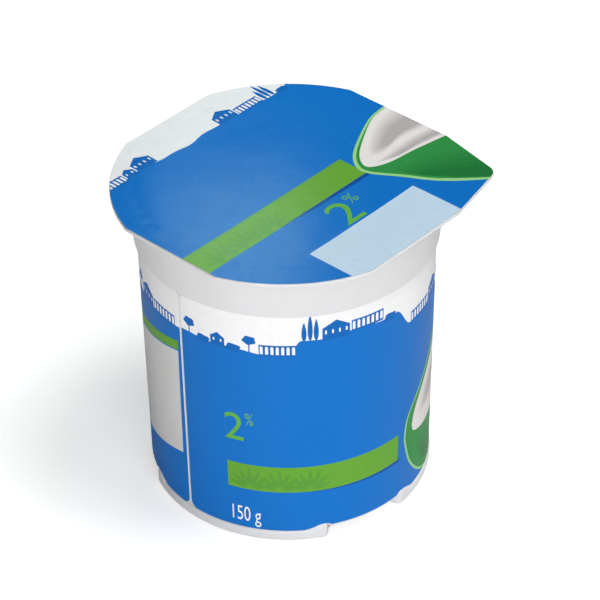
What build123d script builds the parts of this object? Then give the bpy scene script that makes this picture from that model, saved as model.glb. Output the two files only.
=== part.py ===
# Sealed single-serve yogurt pot: a solid filled cup, a wrap label and a sealed foil lid.
# Millimetres. +Z is up, the base stands on Z = 0, the pull tab points to +X -Y.
import math
import os

from build123d import *

# ---- overall ----
total_height = 66.7          # floor to the top of the foil
flange_half = 31.6           # half the width across the straight sides of the rim
corner_radius = 33.6         # radius that trims the three plain corners of the rim

# ---- foil lid and rim ----
foil_thickness = 0.2
flange_thickness = 0.6
foil_inset = 0.12            # the foil edge sits this far inside the rim edge
tab_side_start = 13.5        # where the tab leaves the straight sides, from the middle
tab_side_lean = 0.215        # inward lean of each tab side, per millimetre run
tab_tip_radius = 2.5
tab_snap_distance = 33.0     # middle of the pot to the snap line under the tab
tab_snap_width = 0.5
tab_snap_depth = 0.25
flange_root_radius = 1.0     # blend between the neck and the underside of the rim

# ---- neck ----
neck_drop = 10.9             # lid top down to the lower edge of the neck band
neck_top_radius = 30.3
neck_low_radius = 29.6
neck_edge_radius = 0.4       # rounding of the band's lower edge

# ---- label ----
label_base_radius = 28.2     # outside radius of the label at its lower edge
label_top_radius = 28.95     # outside radius of the label at its upper edge
label_thickness = 0.25
label_wall_clearance = 0.03  # label to cup wall
label_edge_clearance = 0.05  # label to neck band, foot and lug ends
label_low = 2.4              # height of the lower edge
seam_angle = 268.0           # position round the pot, from -Y towards +X
seam_gap = 0.5
seam_corner_radius = 1.8

# ---- foot ----
foot_radius = 28.45
foot_edge_radius = 0.6
lug_count = 3
foot_gap_angle = 345.0       # middle of the first gap between lugs
foot_gap_half_angle = 16.6
foot_gap_flat = 25.0         # middle of the pot to the flat face inside each gap
label_gap_rise = 0.6         # label edge above a gap sits higher than above a lug
lug_end_radius = 1.2
ear_height = 3.5             # top of the raised end of each lug
ear_length = 5.0
base_recess_radius = 21.5
base_recess_depth = 1.2
base_recess_edge = 0.8

# ---- derived ----
foil_low = total_height - foil_thickness
flange_low = foil_low - flange_thickness
neck_low = total_height - neck_drop
label_high = neck_low - label_edge_clearance
foot_high = label_low - label_edge_clearance
wall_inset = label_thickness + label_wall_clearance
label_slope = (label_top_radius - label_base_radius) / (label_high - label_low)


def label_radius(z):
    return label_base_radius + label_slope * (z - label_low)


def wall_radius(z):
    return label_radius(z) - wall_inset


def direction(angle):
    a = math.radians(angle)
    return (math.sin(a), -math.cos(a))


def rim_face(inset):
    """Plan of the rim: a square with three round-trimmed corners and one tab corner."""
    half = flange_half - inset
    radius = corner_radius - inset
    reach = math.sqrt(radius * radius - half * half)
    diag = radius / math.sqrt(2.0)
    lean = tab_side_lean
    start = tab_side_start
    tip = (half + lean * start) / (1.0 + lean)
    with BuildSketch() as sk:
        with BuildLine():
            Line((half, -start), (half, reach))
            ThreePointArc((half, reach), (diag, diag), (reach, half))
            Line((reach, half), (-reach, half))
            ThreePointArc((-reach, half), (-diag, diag), (-half, reach))
            Line((-half, reach), (-half, -reach))
            ThreePointArc((-half, -reach), (-diag, -diag), (-reach, -half))
            Line((-reach, -half), (start, -half))
            Line((start, -half), (tip, -tip))
            Line((tip, -tip), (half, -start))
        make_face()
        corner = sk.vertices().sort_by(lambda v: v.X - v.Y)[-1]
        fillet(corner, tab_tip_radius - inset)
    return sk.sketch


def revolve_profile(points):
    with BuildPart() as bp:
        with BuildSketch(Plane.XZ):
            with BuildLine():
                Polyline(*points, close=True)
            make_face()
        revolve(axis=Axis.Z)
    return bp.part


def sector_prism(angle, half_angle, low, high, inner, outer):
    """A block that spans one foot gap, with a flat inner face square to the gap."""
    t = math.tan(math.radians(half_angle))
    w_in = inner * t
    w_out = outer * t
    pts = [(inner, -w_in), (outer, -w_out), (outer, w_out), (inner, w_in)]
    with BuildPart() as bp:
        with BuildSketch(Plane.XY.offset(low)):
            with BuildLine():
                Polyline(*pts, close=True)
            make_face()
        extrude(amount=high - low)
        inner_edges = bp.edges().filter_by(Axis.Z).sort_by(Axis.X)[:2]
        fillet(inner_edges, 0.8)
    return bp.part.rotate(Axis.Z, angle - 90.0)


def ear_prism(angle, side, grow):
    """A radial block whose front shape is the raised, ramped end of a lug."""
    s = side
    g = grow
    low = foot_high - 1.0
    pts = [
        (s * (-ear_length - g), low),
        (s * (-ear_length - g), foot_high),
        (s * (-2.0 - g), ear_height - 0.25 + g),
        (s * (-1.1), ear_height + g),
        (s * (-0.3), ear_height - 0.1 + g),
        (s * (0.3 + g), ear_height - 0.7 + g),
        (s * (0.5 + g), low),
    ]
    plane = Plane(origin=(0, 0, 0), x_dir=(0, 1, 0), z_dir=(1, 0, 0))
    with BuildPart() as bp:
        with BuildSketch(plane.offset(foot_gap_flat)):
            with BuildLine():
                Polyline(*pts, close=True)
            make_face()
        extrude(amount=5.0)
    return bp.part.rotate(Axis.Z, angle - 90.0)


gap_step = 360.0 / lug_count
gap_angles = [foot_gap_angle + gap_step * i for i in range(lug_count)]
ear_places = []
for gap in gap_angles:
    ear_places.append((gap - foot_gap_half_angle, 1.0))
    ear_places.append((gap + foot_gap_half_angle, -1.0))

# ---- cup: foot, wall, neck band and rim in one solid ----
foot_profile = [
    (0, 0),
    (foot_radius - foot_edge_radius, 0),
    (foot_radius - 0.5 * foot_edge_radius, 0.13 * foot_edge_radius),
    (foot_radius - 0.13 * foot_edge_radius, 0.5 * foot_edge_radius),
    (foot_radius, foot_edge_radius),
    (foot_radius, foot_high - 0.2),
    (foot_radius - 0.2, foot_high),
    (0, foot_high),
]
foot = revolve_profile(foot_profile)

ear_ring_profile = [
    (wall_radius(foot_high) - 1.0, foot_high - 0.8),
    (foot_radius, foot_high - 0.8),
    (foot_radius, ear_height - 0.4),
    (foot_radius - 0.15, ear_height + 0.5),
    (wall_radius(foot_high) - 1.0, ear_height + 0.5),
]
ear_ring = revolve_profile(ear_ring_profile)
for angle, side in ear_places:
    foot = foot + (ear_ring & ear_prism(angle, side, 0.0))

for gap in gap_angles:
    foot = foot - sector_prism(gap, foot_gap_half_angle, -1.0, ear_height + 1.0, foot_gap_flat, 40.0)

core_profile = [
    (0, foot_high - 1.0),
    (foot_gap_flat - 2.0, foot_high - 1.0),
    (foot_gap_flat - 1.0, foot_high),
    (wall_radius(foot_high), foot_high),
    (wall_radius(neck_low), neck_low),
    (neck_low_radius - neck_edge_radius, neck_low),
    (neck_low_radius - 0.3 * neck_edge_radius, neck_low + 0.1 * neck_edge_radius),
    (neck_low_radius, neck_low + neck_edge_radius),
    (neck_top_radius, flange_low - flange_root_radius),
    (neck_top_radius + 0.3 * flange_root_radius, flange_low - 0.3 * flange_root_radius),
    (neck_top_radius + flange_root_radius, flange_low),
    (neck_top_radius + flange_root_radius, foil_low),
    (0, foil_low),
]
core = revolve_profile(core_profile)

rim = extrude(Plane.XY.offset(flange_low) * rim_face(0.0), flange_thickness)
snap_length = 4.0 * corner_radius
snap = Pos(tab_snap_distance, 0, flange_low) * Box(tab_snap_width, snap_length, 2.0 * tab_snap_depth)
snap = snap.rotate(Axis.Z, -45.0)
rim = rim - snap

cup = core + foot + rim

recess_profile = [
    (0, -1.0),
    (base_recess_radius, -1.0),
    (base_recess_radius, 0),
    (base_recess_radius - base_recess_edge, base_recess_depth),
    (0, base_recess_depth),
]
cup = cup - revolve_profile(recess_profile)

# ---- label: a thin sleeve with one open upright seam ----
label_profile = [
    (label_radius(label_low) - label_thickness, label_low),
    (label_radius(label_low), label_low),
    (label_radius(label_high), label_high),
    (label_radius(label_high) - label_thickness, label_high),
]
label = revolve_profile(label_profile)


def seam_block():
    """The upright slot at the seam, flared with round corners at both label edges."""
    half = 0.5 * seam_gap
    r = seam_corner_radius
    bottom = label_low
    top = label_high
    steps = 6
    right = []
    for i in range(steps + 1):
        a = math.radians(90.0 * i / steps)
        right.append((half + r - r * math.sin(a), bottom + r - r * math.cos(a)))
    upper = [(x, top + bottom - z) for x, z in reversed(right)]
    side_pts = [(half + r, bottom - 1.0)] + right + upper + [(half + r, top + 1.0)]
    pts = side_pts + [(-x, z) for x, z in reversed(side_pts)]
    plane = Plane(origin=(0, 0, 0), x_dir=(0, 1, 0), z_dir=(1, 0, 0))
    with BuildPart() as bp:
        with BuildSketch(plane.offset(20.0)):
            with BuildLine():
                Polyline(*pts, close=True)
            make_face()
        extrude(amount=15.0)
    return bp.part.rotate(Axis.Z, seam_angle - 90.0)


label = label - seam_block()
for gap in gap_angles:
    rise = label_low + label_gap_rise
    label = label - sector_prism(gap, foot_gap_half_angle, 0.0, rise, foot_gap_flat, 40.0)
for angle, side in ear_places:
    label = label - ear_prism(angle, side, label_edge_clearance)

# ---- lid: sealed foil, same plan as the rim ----
lid = extrude(Plane.XY.offset(foil_low) * rim_face(foil_inset), foil_thickness)

os.makedirs("parts", exist_ok=True)
export_step(cup, "parts/cup.step")
export_step(label, "parts/label.step")
export_step(lid, "parts/lid.step")
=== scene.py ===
import math

import bpy
from mathutils import Matrix, Vector, noise
from mathutils.geometry import delaunay_2d_cdt


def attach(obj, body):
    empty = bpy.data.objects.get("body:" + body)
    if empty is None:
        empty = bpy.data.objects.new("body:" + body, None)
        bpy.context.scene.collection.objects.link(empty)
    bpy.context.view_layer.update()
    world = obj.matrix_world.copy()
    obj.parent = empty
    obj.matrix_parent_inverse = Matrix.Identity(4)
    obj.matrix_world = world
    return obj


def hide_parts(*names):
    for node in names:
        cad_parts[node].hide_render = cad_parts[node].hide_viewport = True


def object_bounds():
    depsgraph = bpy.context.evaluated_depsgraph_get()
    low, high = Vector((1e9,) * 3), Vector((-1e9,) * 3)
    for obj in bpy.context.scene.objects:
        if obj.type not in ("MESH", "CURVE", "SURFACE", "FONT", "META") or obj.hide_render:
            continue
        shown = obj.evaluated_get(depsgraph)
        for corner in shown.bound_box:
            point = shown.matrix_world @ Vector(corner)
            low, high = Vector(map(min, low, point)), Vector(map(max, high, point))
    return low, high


# Sealed yogurt pot: white cup with a lugged foot, printed wrap label, printed foil lid.
# The print is cut into the label's and the lid's own meshes as fields of ink.
# Lengths are millimetres, with +Z up and the base on Z = 0; MM turns them into metres.
# Directions round the pot are degrees from -Y towards +X.
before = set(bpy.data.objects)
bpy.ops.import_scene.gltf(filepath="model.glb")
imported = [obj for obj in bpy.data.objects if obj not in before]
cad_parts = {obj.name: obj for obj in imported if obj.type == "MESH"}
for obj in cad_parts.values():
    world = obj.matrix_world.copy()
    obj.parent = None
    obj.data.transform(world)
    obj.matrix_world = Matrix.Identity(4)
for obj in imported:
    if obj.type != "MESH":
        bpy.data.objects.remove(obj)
CAD_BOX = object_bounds()
MM = 0.001

# ------------------------------------------------------------------ sizes
HEIGHT = round(CAD_BOX[1][2] / MM, 3)     # floor to the top of the foil
HALF = round(CAD_BOX[1][0] / MM, 3)       # half the width across the rim's straight sides
CORNER = HALF + 2.0                       # radius that trims the three plain corners
FOIL = 0.2
FLANGE = 0.6
FOIL_LOW = HEIGHT - FOIL
FLANGE_LOW = FOIL_LOW - FLANGE
FOIL_INSET = 0.12
LIP = 0.12                                # rounding of the flange's outer edge
TAB_START = 13.5
TAB_LEAN = 0.215
TAB_TIP = 2.5
NECK_TOP_R = HALF - 1.3
NECK_LOW_R = NECK_TOP_R - 0.7
NECK_Z = HEIGHT - 10.9
NECK_EDGE = 0.4
LABEL_TOP_R = NECK_LOW_R - 0.65
LABEL_LOW_R = LABEL_TOP_R - 0.75
LABEL_T = 0.25
LABEL_LOW = 2.4
LABEL_HIGH = NECK_Z - 0.05
LABEL_CLEAR = 0.03
SEAM = 268.0
SEAM_GAP = 0.5
SEAM_ROUND = 1.8
FOOT_R = LABEL_LOW_R + 0.25
FOOT_TOP = LABEL_LOW - 0.05
FOOT_EDGE = 0.6
GAPS = (345.0, 105.0, 225.0)              # middles of the gaps between the foot's lugs
GAP_HALF = 16.6
GAP_FLAT = FOOT_R - 3.45
EAR_TOP = 3.5                             # raised ends of each lug
EAR_LEN = 5.0
RECESS_R = GAP_FLAT - 3.5
RECESS_D = 1.2
HEADSPACE = 1.2                           # foil down to the cup's closed top
DEG_MM = 0.5                              # one degree round the label, in print units
FOOT_DEG = math.degrees(1 / LABEL_LOW_R)  # one millimetre round the label's foot, in degrees

LABEL_SLOPE = (LABEL_TOP_R - LABEL_LOW_R) / (LABEL_HIGH - LABEL_LOW)

# Label edge over a lug's end: millimetres past the end (negative is over the lug), height
EAR_EDGE = ((-5.05, 2.4), (-2.05, 3.3), (-1.1, 3.55), (-0.3, 3.45), (0.35, 3.0))


def label_r(z):
    return LABEL_LOW_R + LABEL_SLOPE * (z - LABEL_LOW)


def wall_r(z):
    return label_r(z) - LABEL_T - LABEL_CLEAR


def smooth(a, b, x):
    t = min(1.0, max(0.0, (x - a) / (b - a)))
    return t * t * (3.0 - 2.0 * t)


def arc_pts(cx, cy, r, a0, a1, n):
    return [(cx + r * math.cos(math.radians(a0 + (a1 - a0) * i / n)),
             cy + r * math.sin(math.radians(a0 + (a1 - a0) * i / n))) for i in range(n + 1)]


def rim_outline(inset, arc_steps=40):
    """Plan of the rim, anticlockwise from the +X side, tab corner at +X -Y."""
    half = HALF - inset
    rad = CORNER - inset
    reach = math.sqrt(rad * rad - half * half)
    turn = math.degrees(math.atan2(reach, half))
    pts = []
    for quarter in range(3):
        pts += arc_pts(0, 0, rad, 90 * quarter + turn, 90 * quarter + 90 - turn, arc_steps)
    tip = (half + TAB_LEAN * TAB_START) / (1 + TAB_LEAN)
    side = Vector((tip - TAB_START, -(tip - half))).normalized()
    lean = math.atan2(side.y, side.x)
    half_angle = math.radians(45) + lean
    back = TAB_TIP / math.sin(half_angle)
    cx = tip - back / math.sqrt(2)
    a_in = math.degrees(lean) - 90
    tab = arc_pts(cx, -cx, TAB_TIP, a_in, -90 - a_in, 10)
    pts += [(TAB_START, -half)] + tab + [(half, -TAB_START)]
    return pts


# ------------------------------------------------------------------ materials
def linear(c):
    """Colour of 0-255 steps as a linear colour with full alpha."""
    return tuple(x / 12.92 if x <= 0.04045 else ((x + 0.055) / 1.055) ** 2.4
                 for x in (v / 255 for v in c)) + (1.0,)


def surface(name, rgb, rough, rough_vary, tint, tint_scale, grain, grain_scale,
            wave=0.0, wave_scale=150.0, metallic=0.0, sss=0.0, specular=0.5):
    """Moulded or printed surface: small tint and gloss changes, fine grain, slow waviness."""
    mat = bpy.data.materials.new(name)
    mat.use_nodes = True
    nt = mat.node_tree
    nodes, links = nt.nodes, nt.links
    bsdf = nodes["Principled BSDF"]
    coords = nodes.new("ShaderNodeTexCoord")
    base = linear(rgb)
    n1 = nodes.new("ShaderNodeTexNoise")
    n1.inputs["Scale"].default_value = tint_scale
    n1.inputs["Detail"].default_value = 4.0
    links.new(coords.outputs["Object"], n1.inputs["Vector"])
    ramp = nodes.new("ShaderNodeValToRGB")
    ramp.color_ramp.elements[0].position = 0.3
    ramp.color_ramp.elements[1].position = 0.7
    ramp.color_ramp.elements[0].color = tuple(c * (1 - tint) for c in base[:3]) + (1,)
    ramp.color_ramp.elements[1].color = tuple(min(1.0, c * (1 + tint)) for c in base[:3]) + (1,)
    links.new(n1.outputs["Fac"], ramp.inputs["Fac"])
    links.new(ramp.outputs["Color"], bsdf.inputs["Base Color"])
    rough_map = nodes.new("ShaderNodeMapRange")
    rough_map.inputs["To Min"].default_value = rough - rough_vary
    rough_map.inputs["To Max"].default_value = rough + rough_vary
    n2 = nodes.new("ShaderNodeTexNoise")
    n2.inputs["Scale"].default_value = wave_scale
    n2.inputs["Detail"].default_value = 3.0
    links.new(coords.outputs["Object"], n2.inputs["Vector"])
    links.new(n2.outputs["Fac"], rough_map.inputs["Value"])
    links.new(rough_map.outputs["Result"], bsdf.inputs["Roughness"])
    n3 = nodes.new("ShaderNodeTexNoise")
    n3.inputs["Scale"].default_value = grain_scale
    n3.inputs["Detail"].default_value = 2.0
    links.new(coords.outputs["Object"], n3.inputs["Vector"])
    bump = nodes.new("ShaderNodeBump")
    bump.inputs["Strength"].default_value = grain
    bump.inputs["Distance"].default_value = 0.0001
    links.new(n3.outputs["Fac"], bump.inputs["Height"])
    last = bump
    if wave:
        slow = nodes.new("ShaderNodeBump")
        slow.inputs["Strength"].default_value = wave
        slow.inputs["Distance"].default_value = 0.0005
        links.new(n2.outputs["Fac"], slow.inputs["Height"])
        links.new(bump.outputs["Normal"], slow.inputs["Normal"])
        last = slow
    links.new(last.outputs["Normal"], bsdf.inputs["Normal"])
    bsdf.inputs["Metallic"].default_value = metallic
    bsdf.inputs["Specular IOR Level"].default_value = specular
    if sss:
        bsdf.inputs["Subsurface Weight"].default_value = sss
        bsdf.inputs["Subsurface Radius"].default_value = (1.0, 0.8, 0.6)
        bsdf.inputs["Subsurface Scale"].default_value = 0.001
    return mat


BLUE = (0, 108, 192)
DEEP = (0, 70, 150)
WHITE = (237, 237, 238)
GREEN = (98, 160, 48)
GREEN_FAN = (86, 150, 52)
GREEN_TEXT = (96, 170, 60)
FOIL_WHITE = (228, 229, 231)
PALE = (188, 211, 229)
PANEL = (208, 208, 206)
SKYBLUE = (0, 98, 178)
DISH = (44, 138, 66)
DISH_DARK = (26, 112, 52)
DISH_RIM = (150, 205, 130)
CREAM_LIGHT = (226, 221, 219)
CREAM_SHADE = (176, 169, 170)

INKS = {
    "blue": BLUE, "deep": DEEP, "white": WHITE,
    "green": GREEN, "fan": GREEN_FAN, "sign": GREEN_TEXT,
    "pale": PALE, "panel": PANEL, "sky": SKYBLUE, "dish": DISH, "dish_rim": DISH_RIM,
    "cream_light": CREAM_LIGHT,
}

TONES = 6     # steps of a soft shade in the print
for tone in range(TONES):
    share = tone / (TONES - 1)
    for stem, light, dark in (("cream", CREAM_LIGHT, CREAM_SHADE), ("dish", DISH, DISH_DARK)):
        INKS["%s_%d" % (stem, tone)] = tuple(a + (b - a) * share for a, b in zip(light, dark))


def ink_set(kind):
    """One material for each ink: matt on the paper label, glossier on the foil."""
    mats = {}
    for key, rgb in INKS.items():
        if kind == "lid" and key == "white":
            rgb = FOIL_WHITE
        if kind == "label":
            mats[key] = surface("label_ink_" + key, rgb, rough=0.48, rough_vary=0.05,
                                tint=0.02, tint_scale=900.0, grain=0.05, grain_scale=6000.0,
                                wave=0.03, wave_scale=180.0, specular=0.18)
        else:
            mats[key] = surface("foil_ink_" + key, rgb, rough=0.27, rough_vary=0.03,
                                tint=0.02, tint_scale=700.0, grain=0.03, grain_scale=4000.0,
                                wave=0.04, wave_scale=260.0, specular=0.25)
    return mats


# ------------------------------------------------------------------ flat print layouts
def inside(pt, loop):
    x, y = pt
    hit = False
    j = len(loop) - 1
    for i in range(len(loop)):
        xi, yi = loop[i]
        xj, yj = loop[j]
        if (yi > y) != (yj > y) and x < (xj - xi) * (y - yi) / (yj - yi) + xi:
            hit = not hit
        j = i
    return hit


class Layout:
    """Fields of ink in print order, cut into one flat triangulation."""

    def __init__(self, outline, ground):
        self.outline = outline
        self.shapes = [([outline], ground)]
        self.lines = []

    def add(self, loops, ink):
        if loops and isinstance(loops[0], tuple):
            loops = [loops]
        self.shapes.append((loops, ink))

    def line(self, a, b):
        self.lines.append((a, b))

    def build(self):
        verts, edges = [], []
        for loops, _ in self.shapes:
            for loop in loops:
                k = len(verts)
                verts += [Vector(p) for p in loop]
                n = len(loop)
                edges += [(k + i, k + (i + 1) % n) for i in range(n)]
        for a, b in self.lines:
            k = len(verts)
            verts += [Vector(a), Vector(b)]
            edges.append((k, k + 1))
        out_v, _, out_f, *_ = delaunay_2d_cdt(verts, edges, [], 0, 1e-4)
        boxes = []
        for loops, ink in self.shapes:
            xs = [p[0] for loop in loops for p in loop]
            ys = [p[1] for loop in loops for p in loop]
            boxes.append((min(xs), max(xs), min(ys), max(ys)))
        tris, inks = [], []
        for f in out_f:
            c = sum((out_v[i] for i in f), Vector((0, 0))) / len(f)
            if not inside(c, self.outline):
                continue
            ink = self.shapes[0][1]
            for (loops, name), (x0, x1, y0, y1) in zip(reversed(self.shapes), reversed(boxes)):
                if x0 <= c.x <= x1 and y0 <= c.y <= y1 and sum(inside(c, lp) for lp in loops) % 2:
                    ink = name
                    break
            a, b, d = (out_v[i] for i in f)
            area = (b - a).cross(d - a)
            tris.append(tuple(f) if area > 0 else tuple(reversed(f)))
            inks.append(ink)
        return out_v, tris, inks


def text_loops(body, height, x, y, weight=0.0, squeeze=1.0):
    """Outline loops of plain figures, scaled to a height, with the lower left corner at x, y."""
    curve = bpy.data.curves.new("figures", "FONT")
    curve.body = body
    curve.fill_mode = "NONE"
    curve.offset = weight
    curve.resolution_u = 6
    obj = bpy.data.objects.new("figures", curve)
    bpy.context.scene.collection.objects.link(obj)
    dg = bpy.context.evaluated_depsgraph_get()
    mesh = bpy.data.meshes.new_from_object(obj.evaluated_get(dg))
    near = {}
    for e in mesh.edges:
        a, b = e.vertices
        near.setdefault(a, []).append(b)
        near.setdefault(b, []).append(a)
    loops, seen = [], set()
    for start in sorted(near):
        if start in seen:
            continue
        loop, prev, cur = [], None, start
        while cur not in seen:
            seen.add(cur)
            loop.append(cur)
            nxt = [n for n in near[cur] if n != prev and n not in seen]
            if not nxt:
                break
            prev, cur = cur, nxt[0]
        if len(loop) > 2:
            loops.append([(mesh.vertices[i].co.x, mesh.vertices[i].co.y) for i in loop])
    xs = [p[0] for lp in loops for p in lp]
    ys = [p[1] for lp in loops for p in lp]
    k = height / (max(ys) - min(ys))
    x_min, y_min = min(xs), min(ys)
    out = [[(x + (px - x_min) * k * squeeze, y + (py - y_min) * k) for px, py in loop]
           for loop in loops]
    bpy.data.objects.remove(obj)
    bpy.data.curves.remove(curve)
    bpy.data.meshes.remove(mesh)
    return out


def rect(x0, y0, x1, y1):
    return [(x0, y0), (x1, y0), (x1, y1), (x0, y1)]


def arched(x0, y0, x1, y1):
    r = (x1 - x0) / 2
    return [(x0, y0), (x1, y0)] + arc_pts((x0 + x1) / 2, y1 - r, r, 0, 180, 6)


def blob(cx, cy, rx, ry, lobes, depth, n=28, turn=0.0):
    pts = []
    for i in range(n):
        a = 2 * math.pi * i / n
        k = 1 + depth * math.cos(lobes * a + turn)
        pts.append((cx + rx * k * math.cos(a), cy + ry * k * math.sin(a)))
    return pts


def poplar(x, y, w, h):
    pts = []
    for i in range(11):
        t = i / 10
        pts.append((x + w / 2 * math.sin(math.pi * t ** 0.75) ** 0.8, y + h * t))
    left = [(2 * x - px, py) for px, py in reversed(pts[1:-1])]
    return pts + left


def round_tree(lay, x, y, h, r, ink):
    lay.add(rect(x - 0.13, y - 0.3, x + 0.13, y + h - r), ink)
    lay.add(blob(x, y + h - r * 0.8, r, r * 0.8, 5, 0.10, turn=x), ink)


def house(lay, x, y, w, h, roof, ink, gap_ink):
    lay.add([(x, y - 0.4), (x + w, y - 0.4), (x + w, y + h), (x + w / 2, y + h + roof),
             (x, y + h)], ink)
    count = max(1, int(w / 1.1))
    step = w / count
    for i in range(count):
        wx = x + step * (i + 0.5)
        lay.add(rect(wx - 0.17, y + h * 0.42, wx + 0.17, y + h * 0.78), gap_ink)


def arcade(lay, x, y, w, h, n, ink, gap_ink):
    lay.add(rect(x, y - 0.4, x + w, y + h), ink)
    step = w / n
    for i in range(n):
        wx = x + step * (i + 0.5)
        lay.add(arched(wx - step * 0.28, y + 0.1, wx + step * 0.28, y + h - 0.35), gap_ink)


def mill(lay, x, y, w, h, ink, gap_ink):
    lay.add([(x, y - 0.4), (x + w, y - 0.4), (x + w * 0.82, y + h), (x + w / 2, y + h + 0.5),
             (x + w * 0.18, y + h)], ink)
    cx, cy = x + w / 2, y + h * 0.86
    for k in range(4):
        a = math.radians(24 + 90 * k)
        dx, dy = math.cos(a), math.sin(a)
        px, py = -dy, dx
        tip = 1.5
        lay.add([(cx + px * 0.06, cy + py * 0.06), (cx - px * 0.06, cy - py * 0.06),
                 (cx + dx * tip - px * 0.22, cy + dy * tip - py * 0.22),
                 (cx + dx * tip + px * 0.22, cy + dy * tip + py * 0.22)], ink)


def village(lay, x0, x1, y, ink, gap_ink, order, scale=1.0):
    """A run of buildings and trees along a horizon at height y(x).

    order: h cottage, H house, a arcade, P poplars, t tree, m mill, b bush.
    """
    x = x0
    i = 0
    while x < x1:
        kind = order[i % len(order)]
        i += 1
        yy = y(x)
        if kind == "h":
            w = 2.2 * scale
            house(lay, x, yy, w, 1.3 * scale, 0.8 * scale, ink, gap_ink)
        elif kind == "H":
            w = 4.0 * scale
            house(lay, x, yy, w, 1.8 * scale, 1.2 * scale, ink, gap_ink)
        elif kind == "a":
            w = 5.2 * scale
            arcade(lay, x, yy, w, 1.7 * scale, 7, ink, gap_ink)
        elif kind == "P":
            w = 2.8 * scale
            for k, hh in enumerate((3.4, 4.8, 3.9)):
                lay.add(poplar(x + (0.5 + 0.85 * k) * scale, yy - 0.3, 0.72 * scale, hh * scale),
                        ink)
        elif kind == "t":
            w = 2.2 * scale
            round_tree(lay, x + 1.1 * scale, yy, 2.6 * scale, 0.95 * scale, ink)
        elif kind == "m":
            w = 2.0 * scale
            mill(lay, x, yy, w, 2.6 * scale, ink, gap_ink)
        else:
            w = 2.0 * scale
            lay.add(blob(x + 1.0 * scale, yy, 1.1 * scale, 0.7 * scale, 4, 0.12, turn=x), ink)
        x += w + 0.25 * scale


def fan(lay, cx, cy, r, ink, petals=7):
    """Plain palmette: narrow leaves that spread from one foot."""
    for k in range(petals):
        a = math.radians(20 + 140 * k / (petals - 1))
        length = r * (0.78 + 0.22 * math.sin(a))
        w = r * 0.085
        pts = []
        for i in range(9):
            t = i / 8
            pts.append((t, w * math.sin(math.pi * t ** 0.7)))
        loop = pts + [(t, -v) for t, v in reversed(pts[1:-1])]
        ca, sa = math.cos(a), math.sin(a)
        lay.add([(cx + (0.16 + t * 0.84) * length * ca - v * sa,
                  cy + (0.16 + t * 0.84) * length * sa + v * ca) for t, v in loop], ink)


def spline(points, n=10):
    """Smooth line through points."""
    out = []
    for i in range(len(points) - 1):
        p0 = Vector(points[max(0, i - 1)])
        p1 = Vector(points[i])
        p2 = Vector(points[i + 1])
        p3 = Vector(points[min(len(points) - 1, i + 2)])
        for k in range(n):
            t = k / n
            v = 0.5 * ((2 * p1) + (p2 - p0) * t + (2 * p0 - 5 * p1 + 4 * p2 - p3) * t * t
                       + (3 * p1 - p0 - 3 * p2 + p3) * t ** 3)
            out.append((v.x, v.y))
    out.append(tuple(points[-1]))
    return out


# ------------------------------------------------------------------ mesh from a layout
def skin_mesh(name, lay_out, mats, outer, inner, edge_mat):
    """Printed skin with real thickness. outer(x, y) and inner(x, y) give position and normal."""
    verts2, tris, inks = lay_out
    used = sorted({i for t in tris for i in t})
    index = {v: k for k, v in enumerate(used)}
    n = len(used)
    top = [outer(verts2[i].x, verts2[i].y) for i in used]
    bot = [inner(verts2[i].x, verts2[i].y) for i in used]
    verts = [p for p, _ in top] + [p for p, _ in bot]
    keys = sorted(set(inks))
    faces, slots, flat = [], [], []
    half_edges = {}
    for t, ink in zip(tris, inks):
        a, b, c = (index[i] for i in t)
        faces.append((a, b, c))
        slots.append(keys.index(ink))
        flat.append("top")
        for e in ((a, b), (b, c), (c, a)):
            half_edges[e] = True
    edge_slot = len(keys)
    for t in list(faces):
        faces.append((t[2] + n, t[1] + n, t[0] + n))
        slots.append(edge_slot)
        flat.append("bot")
    for a, b in half_edges:
        if (b, a) not in half_edges:
            faces.append((b, a, a + n, b + n))
            slots.append(edge_slot)
            flat.append("edge")
    mesh = bpy.data.meshes.new(name)
    mesh.from_pydata([tuple(v) for v in verts], [], faces)
    for k in keys:
        mesh.materials.append(mats[k])
    mesh.materials.append(edge_mat)
    mesh.polygons.foreach_set("material_index", slots)
    mesh.polygons.foreach_set("use_smooth", [True] * len(faces))
    mesh.update()
    normals = []
    for poly, kind in zip(mesh.polygons, flat):
        for li in poly.loop_indices:
            vi = mesh.loops[li].vertex_index
            if kind == "top":
                normals.append(tuple(top[vi][1]))
            elif kind == "bot":
                normals.append(tuple(bot[vi - n][1]))
            else:
                normals.append(tuple(poly.normal))
    mesh.normals_split_custom_set(normals)
    obj = bpy.data.objects.new(name, mesh)
    bpy.context.scene.collection.objects.link(obj)
    return obj


def blend_fields(lay, first, last, stem):
    """Soft shading in print: nested fields from one loop to another, a tone apart."""
    for k in range(TONES):
        t = k / (TONES - 1)
        lay.add([(a[0] + (b[0] - a[0]) * t, a[1] + (b[1] - a[1]) * t) for a, b in zip(first, last)],
                "%s_%d" % (stem, k))


# ------------------------------------------------------------------ label
def label_point(x, z, drop=0.0):
    """Print millimetres (from the seam, up) to a point and normal on the label."""
    a = math.radians(SEAM + x / DEG_MM)
    r = label_r(z) - drop
    d = Vector((math.sin(a), -math.cos(a), 0))
    nrm = Vector((d.x, d.y, -LABEL_SLOPE)).normalized()
    if drop:
        nrm = -nrm
    return Vector((d.x * r, d.y * r, z)) * MM, nrm


def label_low_edge():
    """Lower edge from seam to seam: over lugs, round their raised ends, across the gaps."""
    marks = []
    for gap in GAPS:
        g = (gap - SEAM) % 360
        for s in (-1, 1):
            end = g + s * GAP_HALF
            marks += [(end - s * m * FOOT_DEG, z) for m, z in EAR_EDGE]
    marks.sort()
    return [(t * DEG_MM, z) for t, z in marks]


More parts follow.
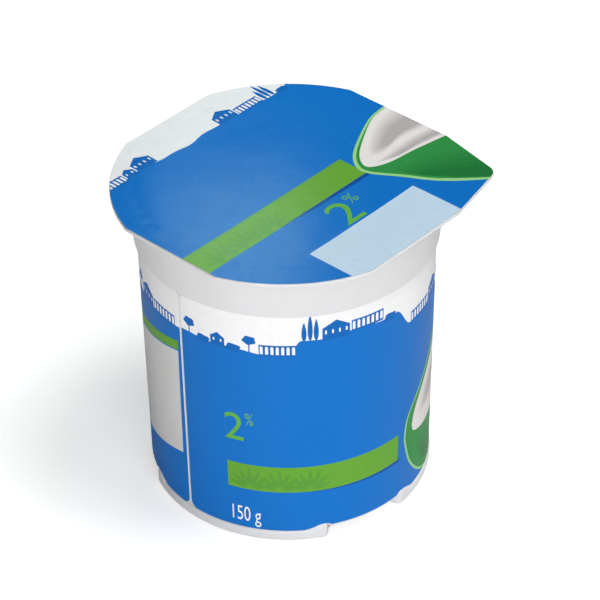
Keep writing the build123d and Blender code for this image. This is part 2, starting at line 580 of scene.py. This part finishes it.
def label_outline():
    x0 = SEAM_GAP / 2 * FOOT_DEG * DEG_MM
    x1 = 360 * DEG_MM - x0
    r = SEAM_ROUND
    low, high = LABEL_LOW, LABEL_HIGH
    pts = arc_pts(x0 + r, low + r, r, 180, 270, 6)
    pts += [p for p in label_low_edge() if x0 + r < p[0] < x1 - r]
    pts += arc_pts(x1 - r, low + r, r, 270, 360, 6)
    pts += arc_pts(x1 - r, high - r, r, 0, 90, 6)
    pts += arc_pts(x0 + r, high - r, r, 90, 180, 6)
    return pts


BOWL_MIDDLE = (71.6, 18.2)


def label_layout():
    """Print of the label: x runs from the seam in print units, y is height."""
    out = label_outline()
    lay = Layout(out, "blue")

    def horizon(x):
        hill = 0.5 * math.sin(x * 0.21 + 0.4) + 0.28 * math.sin(x * 0.55 + 1.0)
        fall = smooth(45, 49, x)
        rise = 3.0 * smooth(22.6, 24.6, x) * (1 - fall)
        dip = 1.6 * fall * (1 - smooth(78, 96, x))
        return 47.0 + hill * 0.7 + rise - dip

    sky = [(-1, 60)] + [(x * 0.5, horizon(x * 0.5)) for x in range(-2, 363)] + [(181, 60)]
    lay.add(sky, "white")
    village(lay, 0.8, 22.0, horizon, "sky", "white", "tbhbta", 1.35)
    village(lay, 24.6, 44.0, horizon, "sky", "white", "PHab", 1.35)
    village(lay, 49.4, 104.0, horizon, "sky", "white", "aHtPbmhtab", 1.35)
    village(lay, 105.0, 178.0, horizon, "sky", "white", "btHaPhmtbhtaP", 1.35)
    # net weight and fat content
    lay.add(text_loops("2", 6.6, 9.4, 24.6, 0.0, 0.95), "sign")
    lay.add(text_loops("%", 3.0, 13.7, 28.7, 0.0, 0.62), "sign")
    lay.add(text_loops("150 g", 4.9, 10.4, 2.85, 0.06, 0.56), "white")
    # flavour band with a plain leaf ornament, and its printed shadow
    lay.add([(20, 12.5), (46.8, 11.7), (46.8, 13.0), (20, 13.0)], "deep")
    lay.add(rect(9.7, 12.4, 46.4, 18.8), "green")
    for k, cx in enumerate((14.2, 20.2, 26.2)):
        fan(lay, cx, 12.7, 5.6, "fan")
    # back: header strip over a plain panel, and a second plain panel
    lay.add([(155, 35.6), (179, 41.2), (179, 43.4), (155, 38.0)], "green")
    lay.add([(155, 9.8), (178.6, 15.4), (178.9, 40.9), (155, 35.3)], "panel")
    lay.add(rect(112, 10.0, 140, 34.0), "panel")
    # picture beside the band: spooned yogurt over a green dish
    bowl = spline([(48.2, 16.0), (49.3, 21.5), (54.5, 27.0), (62, 33.5), (72, 36.5), (84, 34.0),
                   (92, 27.5), (95, 19.5), (92.5, 11.0), (86, 4.8), (76, 2.0), (66, 0.5),
                   (56, 3.2), (50.5, 8.8), (48.2, 16.0)])
    lay.add(bowl, "dish_rim")
    cx, cy = BOWL_MIDDLE
    lay.add([(cx + (x - cx) * 0.978, cy + (y - cy) * 0.974) for x, y in bowl], "dish")
    blend_fields(lay,
                 spline([(51.5, 13), (62, 13.4), (76, 13.0), (88, 15.5), (93.2, 19.5),
                         (92.6, 12.0), (85.2, 6.0), (75, 3.2), (65, 2.0), (56, 5.0), (51.5, 13)]),
                 spline([(58, 5.6), (65, 7.6), (76, 7.8), (86, 10.2), (90.4, 14.6), (90, 10.6),
                         (83.5, 6.0), (75, 3.8), (66.5, 2.8), (60.5, 4.0), (58, 5.6)]), "dish")
    yogurt = spline([(51.0, 18.5), (52.6, 22.5), (58, 28), (66, 33.6), (74, 34.8), (83, 32.0),
                     (90, 26.0), (92.6, 20.0), (86, 17.0), (76, 15.6), (66, 14.8), (57, 14.9),
                     (52.0, 16.2), (51.0, 18.5)])
    lay.add(yogurt, "cream_light")
    blend_fields(lay,
                 spline([(52.2, 18.6), (56, 24.6), (64, 30.6), (72, 32.4), (81, 29.6), (75, 26.4),
                         (66, 22.6), (60, 18.0), (52.2, 18.6)]),
                 spline([(58, 21.2), (61, 24.8), (66, 28.4), (72, 29.6), (77, 28.6), (73, 27.0),
                         (66.5, 24.6), (61.5, 21.2), (58, 21.2)]), "cream")
    blend_fields(lay,
                 spline([(57, 16.2), (66, 20.6), (77, 26.4), (86, 26.2), (91, 21.0), (82, 17.4),
                         (69, 15.6), (57, 16.2)]),
                 spline([(66, 18.8), (71, 21.4), (78, 24.4), (84.4, 23.8), (87, 21.4),
                         (81, 19.6), (72, 18.4), (66, 18.8)]), "cream")
    for i in range(1, 120):
        lay.line((i * 1.5, 1.5), (i * 1.5, 57))
    for i in range(1, 14):
        lay.line((-1, 1.4 + i * 4.0), (181, 1.4 + i * 4.0))
    return lay.build()


# ------------------------------------------------------------------ lid
def lid_height(x, y):
    """Height of the foil's upper face: seal ring, slightly slack middle, small creases."""
    r = math.hypot(x, y)
    z = HEIGHT - 0.02
    slack = 1 - smooth(20, 28.4, r)
    z -= 0.16 * slack
    z -= 0.03 * math.exp(-((r - 29.0) / 0.5) ** 2)
    n = (noise.noise(Vector((x * 0.11, y * 0.11, 3.7)))
         + 0.5 * noise.noise(Vector((x * 0.27, y * 0.27, 9.1))))
    z += 0.05 * n * (0.15 + 0.85 * slack)
    return min(z, HEIGHT)


def lid_point(x, y):
    h = 0.15
    gx = (lid_height(x + h, y) - lid_height(x - h, y)) / (2 * h)
    gy = (lid_height(x, y + h) - lid_height(x, y - h)) / (2 * h)
    return Vector((x, y, lid_height(x, y))) * MM, Vector((-gx, -gy, 1)).normalized()


def lid_under(x, y):
    return Vector((x, y, lid_height(x, y) - FOIL)) * MM, Vector((0, 0, -1))


def lid_layout():
    """Print of the lid in plan, seen from above."""
    out = rim_outline(FOIL_INSET)
    lay = Layout(out, "blue")

    def horizon(x):
        return 22.4 - 0.02 * x + 0.35 * math.sin(x * 0.3) + 0.2 * math.sin(x * 0.8 + 1)

    sky = [(-36, 40)] + [(x * 0.5, horizon(x * 0.5)) for x in range(-72, 73)] + [(36, 40)]
    lay.add(sky, "white")
    village(lay, -26.5, -12.5, horizon, "sky", "white", "ahHb", 1.25)
    village(lay, 5.5, 28.0, horizon, "sky", "white", "HaPbmtab", 1.25)
    lay.add(text_loops("2", 7.0, -3.4, -18.9, 0.0, 1.2), "sign")
    lay.add(text_loops("%", 2.9, 2.3, -14.6, 0.0, 0.95), "sign")
    lay.add([(-14, -9.8), (12.2, -9.8), (12.2, -10.9), (-4, -10.5)], "deep")
    lay.add(rect(-36, -9.9, 11.9, -3.1), "green")
    for cx in (-25.5, -19.2, -12.9):
        fan(lay, cx, -9.6, 5.9, "fan")
    lay.add(rect(-15.0, -36, 14.3, -19.5), "pale")
    dish = spline([(33, 2.6), (27, 2.0), (21, -0.4), (15.0, -3.8), (12.0, -7.2),
                   (12.0, -10.6), (15.2, -15.9),
                   (17.6, -20.6), (21.1, -25.0), (27.5, -31.0)]) + [(40, -40), (40, 2)]
    lay.add(dish, "dish_rim")
    inner = spline([(33.5, 2.1), (27, 1.5), (21.2, -0.9), (15.4, -4.3), (12.7, -7.5),
                    (12.7, -10.4), (15.9, -15.6),
                    (18.3, -20.2), (21.8, -24.5), (28.2, -31.0)]) + [(41, -40), (41, 2)]
    lay.add(inner, "dish")
    low_edge = [(41, -40)] + list(reversed(spline([(18.0, -18.6), (22.2, -24.4), (28.6, -31.0)])))
    high, deep = (spline([(15.6, -12.6), (22, -13.6), (28, -15.4), (35, -17.4)]),
                  spline([(17.6, -17.2), (22, -20.2), (28, -24.6), (35, -28.4)]))
    blend_fields(lay, high + low_edge, deep + low_edge, "dish")
    lay.add(spline([(33.5, 2.1), (27, 1.4), (21.4, -1.2), (16.0, -4.6), (13.6, -7.4),
                    (13.9, -9.4), (17.6, -11.0),
                    (24.3, -12.0), (34.0, -13.8)]) + [(41, -12)], "cream_light")
    blend_fields(lay,
                 spline([(33, 1.6), (26, 0.2), (20.2, -3.0), (16.2, -6.4), (18.6, -8.0),
                         (25, -7.4), (33, -8.8)]),
                 spline([(33, -3.0), (27, -3.2), (23.0, -4.6), (20.4, -6.3), (22.6, -6.8),
                         (27, -6.2), (33, -7.0)]), "cream")
    blend_fields(lay,
                 spline([(35, -9.2), (26, -8.2), (20, -8.6), (15.4, -9.0), (20, -11.0),
                         (26, -11.8), (35, -13.6)]),
                 spline([(35, -11.4), (27, -10.4), (22, -10.2), (18.6, -10.1), (21, -10.8),
                         (27, -11.2), (35, -12.6)]), "cream")
    for i in range(-22, 23):
        lay.line((i * 1.45, -34), (i * 1.45, 34))
        lay.line((-34, i * 1.45), (34, i * 1.45))
    return lay.build()


# ------------------------------------------------------------------ cup
def ray_radius(outline, a):
    """Distance from the middle to the outline along a direction."""
    dx, dy = math.sin(a), -math.cos(a)
    best = 0.0
    for i in range(len(outline)):
        x1, y1 = outline[i - 1]
        x2, y2 = outline[i]
        ex, ey = x2 - x1, y2 - y1
        den = dx * ey - dy * ex
        if abs(den) < 1e-12:
            continue
        t = (x1 * ey - y1 * ex) / den
        s = (x1 * dy - y1 * dx) / den
        if t > 0 and -1e-9 <= s <= 1 + 1e-9:
            best = max(best, t)
    return best


def lug_state(deg):
    """Millimetres past the nearest lug end (negative in a gap), that gap, angle to its middle."""
    best = None
    for g in GAPS:
        d = abs((deg - g + 180) % 360 - 180)
        m = (d - GAP_HALF) * math.pi / 180 * 28.3
        if best is None or m < best[0]:
            best = (m, g, d)
    return best


def cup_rows(deg, rim_r):
    """Section of the cup in one direction: (radius, height), base middle to closed top."""
    m, _, d = lug_state(deg)
    flat = GAP_FLAT / math.cos(math.radians(min(d, GAP_HALF + 2)))
    k = smooth(-0.25, 0.95, m) ** 0.5
    foot = flat + (FOOT_R - flat) * k
    top = FOOT_TOP + (EAR_TOP - FOOT_TOP) * smooth(-0.3, 0.9, m) * (1 - smooth(1.6, EAR_LEN, m))
    e = FOOT_EDGE
    rows = [(0.0, RECESS_D), (6.0, RECESS_D), (6.25, RECESS_D - 0.18), (6.6, RECESS_D - 0.18),
            (6.85, RECESS_D),
            (14.0, RECESS_D), (RECESS_R - 1.0, RECESS_D), (RECESS_R - 0.65, RECESS_D - 0.12),
            (RECESS_R - 0.1, 0.14), (RECESS_R + 0.2, 0.02), (RECESS_R + 0.5, 0.0), (foot - e, 0.0)]
    for i in range(1, 5):
        a = math.pi / 2 * i / 4
        rows.append((foot - e + e * math.sin(a), e - e * math.cos(a)))
    rows.append((foot, top * 0.6))
    rows.append((foot, top - 0.22))
    rows.append((foot - 0.06, top - 0.08))
    rows.append((foot - 0.2, top))
    wz = max(top, FOOT_TOP + 0.02)
    if k < 0.5:
        rows.append((foot - 0.3, FOOT_TOP + 0.02))
    else:
        rows.append((wall_r(wz) + 0.05, wz))
    rows.append((wall_r(wz), wz + 0.03))
    for i in range(1, 9):
        z = wz + (NECK_Z - 0.05 - wz) * i / 8
        rows.append((wall_r(z), z))
    q = NECK_EDGE
    rows.append((NECK_LOW_R - q - 0.1, NECK_Z))
    for i in range(1, 5):
        a = math.pi / 2 * i / 4
        rows.append((NECK_LOW_R - q + q * math.sin(a), NECK_Z + q - q * math.cos(a)))
    z0, z1 = NECK_Z + q, FLANGE_LOW - 1.0
    for i in range(1, 6):
        rows.append((NECK_LOW_R + (NECK_TOP_R - NECK_LOW_R) * i / 5, z0 + (z1 - z0) * i / 5))
    for i in range(1, 5):
        a = math.pi / 2 * i / 4
        rows.append((NECK_TOP_R + 0.95 * (1 - math.cos(a)), z1 + 0.98 * math.sin(a)))
    rows.append((NECK_TOP_R + 1.0, FLANGE_LOW))
    edge, lip = rim_r, LIP
    if edge > 33.7:
        rows += [(edge - (edge - 31.3) * 0.6, FLANGE_LOW), (edge - 1.2, FLANGE_LOW)]
    else:
        rows += [(31.3 + (edge - 31.3) * 0.33, FLANGE_LOW),
                 (31.3 + (edge - 31.3) * 0.66, FLANGE_LOW)]
    rows += [(edge - lip, FLANGE_LOW), (edge - 0.03, FLANGE_LOW + 0.05), (edge, FLANGE_LOW + lip),
             (edge, FOIL_LOW - lip), (edge - 0.03, FOIL_LOW - 0.04), (edge - lip, FOIL_LOW),
             (29.3, FOIL_LOW - 0.02), (28.9, FOIL_LOW - 0.3)]
    rows += [(r, FOIL_LOW - HEADSPACE) for r in (28.7, 24.0, 0.0)]
    return rows


def cup_mesh(mat):
    outline = rim_outline(0.0)
    angles = {i * 1.0 for i in range(360)}
    for g in GAPS:
        for s in (-1, 1):
            for k in range(-8, 25):
                angles.add((g + s * (GAP_HALF + k * 0.25)) % 360)
    for x, y in outline:
        angles.add(math.degrees(math.atan2(x, -y)) % 360)
    kept = []
    for a in sorted(angles):
        if not kept or a - kept[-1] > 0.06:
            kept.append(a)
    verts, faces = [], []
    cols = []
    for a in kept:
        rad = math.radians(a)
        rows = cup_rows(a, ray_radius(outline, rad))
        cols.append(len(verts))
        for r, z in rows[1:-1]:
            verts.append((r * math.sin(rad) * MM, -r * math.cos(rad) * MM, z * MM))
        count = len(rows) - 2
    low, high = len(verts), len(verts) + 1
    verts += [(0, 0, RECESS_D * MM), (0, 0, (FOIL_LOW - HEADSPACE) * MM)]
    n = len(kept)
    for i in range(n):
        a, b = cols[i], cols[(i + 1) % n]
        faces.append((low, b, a))
        for k in range(count - 1):
            faces.append((a + k, b + k, b + k + 1, a + k + 1))
        faces.append((high, a + count - 1, b + count - 1))
    mesh = bpy.data.meshes.new("cup_shell")
    mesh.from_pydata(verts, [], faces)
    mesh.polygons.foreach_set("use_smooth", [True] * len(faces))
    mesh.set_sharp_from_angle(angle=math.radians(38))
    mesh.materials.append(mat)
    mesh.update()
    obj = bpy.data.objects.new("cup_shell", mesh)
    bpy.context.scene.collection.objects.link(obj)
    return obj


# ------------------------------------------------------------------ pieces
plastic = surface("white_plastic", (216, 216, 217), 0.33, 0.05, 0.012, 200.0, 0.04, 3500.0,
                  0.02, 90.0,
                  sss=0.12)
paper_edge = surface("paper_edge", (236, 236, 232), 0.7, 0.06, 0.03, 2500.0, 0.2, 9000.0)
foil_edge = surface("foil_edge", (205, 207, 210), 0.3, 0.06, 0.03, 900.0, 0.08, 4000.0,
                    metallic=0.85)

cup = cup_mesh(plastic)
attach(cup, "root")
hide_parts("cup")

label = skin_mesh("label_wrap", label_layout(), ink_set("label"), label_point,
                  lambda x, z: label_point(x, z, LABEL_T - 0.01), paper_edge)
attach(label, "root")
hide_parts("label")

lid = skin_mesh("lid_foil", lid_layout(), ink_set("lid"), lid_point, lid_under, foil_edge)
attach(lid, "root")
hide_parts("lid")

# ------------------------------------------------------------------ floor
FLOOR_HALF = 6     # metres
FLOOR_GLOW = 0.47  # seen by the camera only: brings the lit floor up to white

floor_mesh = bpy.data.meshes.new("floor")
floor_mesh.from_pydata([(x * FLOOR_HALF, y * FLOOR_HALF, 0)
                        for x, y in ((-1, -1), (1, -1), (1, 1), (-1, 1))], [], [(0, 1, 2, 3)])
floor = bpy.data.objects.new("floor", floor_mesh)
bpy.context.scene.collection.objects.link(floor)
floor_mat = bpy.data.materials.new("floor")
floor_mat.use_nodes = True
ft = floor_mat.node_tree
fb = ft.nodes["Principled BSDF"]
fb.inputs["Base Color"].default_value = (0.8, 0.8, 0.8, 1)
fb.inputs["Roughness"].default_value = 0.9
fb.inputs["Specular IOR Level"].default_value = 0.1
path = ft.nodes.new("ShaderNodeLightPath")
glow = ft.nodes.new("ShaderNodeEmission")
add = ft.nodes.new("ShaderNodeAddShader")
scale = ft.nodes.new("ShaderNodeMath")
scale.operation = "MULTIPLY"
scale.inputs[1].default_value = FLOOR_GLOW
ft.links.new(path.outputs["Is Camera Ray"], scale.inputs[0])
ft.links.new(scale.outputs[0], glow.inputs["Strength"])
ft.links.new(fb.outputs[0], add.inputs[0])
ft.links.new(glow.outputs[0], add.inputs[1])
ft.links.new(add.outputs[0], ft.nodes["Material Output"].inputs["Surface"])
floor_mesh.materials.append(floor_mat)

# ------------------------------------------------------------------ world and lamps
AMBIENT = 0.13     # what the white surroundings add to the light

scene = bpy.context.scene
world = bpy.data.worlds.new("studio")
scene.world = world
world.use_nodes = True
wt = world.node_tree
bg = wt.nodes["Background"]
bg.inputs["Color"].default_value = (1, 1, 1, 1)
wp = wt.nodes.new("ShaderNodeLightPath")
wm = wt.nodes.new("ShaderNodeMapRange")
wm.inputs["To Min"].default_value = AMBIENT
wm.inputs["To Max"].default_value = 1.0
wt.links.new(wp.outputs["Is Camera Ray"], wm.inputs["Value"])
wt.links.new(wm.outputs["Result"], bg.inputs["Strength"])


def softbox(name, azimuth, elevation, distance, size_x, size_y, power,
            aim=(0, 0, 0.035), colour=(1, 1, 1)):
    """Area lamp that faces its aim and isn't itself seen."""
    a, e = math.radians(azimuth), math.radians(elevation)
    target = Vector(aim)
    pos = target + distance * Vector((math.sin(a) * math.cos(e), -math.cos(a) * math.cos(e),
                                      math.sin(e)))
    data = bpy.data.lights.new(name, "AREA")
    data.shape = "RECTANGLE"
    data.size = size_x
    data.size_y = size_y
    data.energy = power
    data.color = colour
    obj = bpy.data.objects.new(name, data)
    turn = (pos - target).to_track_quat("Z", "Y").to_matrix().to_4x4()
    obj.matrix_world = Matrix.Translation(pos) @ turn
    obj.visible_camera = False
    scene.collection.objects.link(obj)
    return obj


# name, direction round the pot, elevation, distance, width, height (metres), watts
for lamp in (("key", 38, 70, 0.9, 0.36, 0.36, 4.6), ("fill", 328, 38, 0.9, 0.5, 0.5, 2.3),
             ("side", 22, 38, 0.9, 0.5, 0.5, 1.3), ("strip", 302, 4, 0.28, 0.03, 0.1, 0.28)):
    softbox(*lamp)
softbox("sheen", 133, 36, 0.11, 0.03, 0.03, 0.012,
        aim=(-0.024, -0.008, 0.0665), colour=(0.65, 1.0, 0.85))

# ------------------------------------------------------------------ camera
CAM_POS = Vector((-317.83, -295.25, 365.71)) * MM
CAM_AIM = Vector((1.297, -2.01, 38.08)) * MM
CAM_ROLL = math.radians(-0.78)
cam_data = bpy.data.cameras.new("camera")
cam_data.sensor_width = 36
cam_data.lens = 166.08
cam_data.clip_start = 0.05
cam_data.clip_end = 20
cam = bpy.data.objects.new("camera", cam_data)
scene.collection.objects.link(cam)
back = (CAM_POS - CAM_AIM).normalized()
right = Vector((0, 0, 1)).cross(back).normalized()
up = back.cross(right)
right_r = right * math.cos(CAM_ROLL) + up * math.sin(CAM_ROLL)
up_r = -right * math.sin(CAM_ROLL) + up * math.cos(CAM_ROLL)
cam.matrix_world = Matrix.Translation(CAM_POS) @ Matrix((right_r, up_r, back)).transposed().to_4x4()
scene.camera = cam
scene.view_settings.view_transform = "Standard"
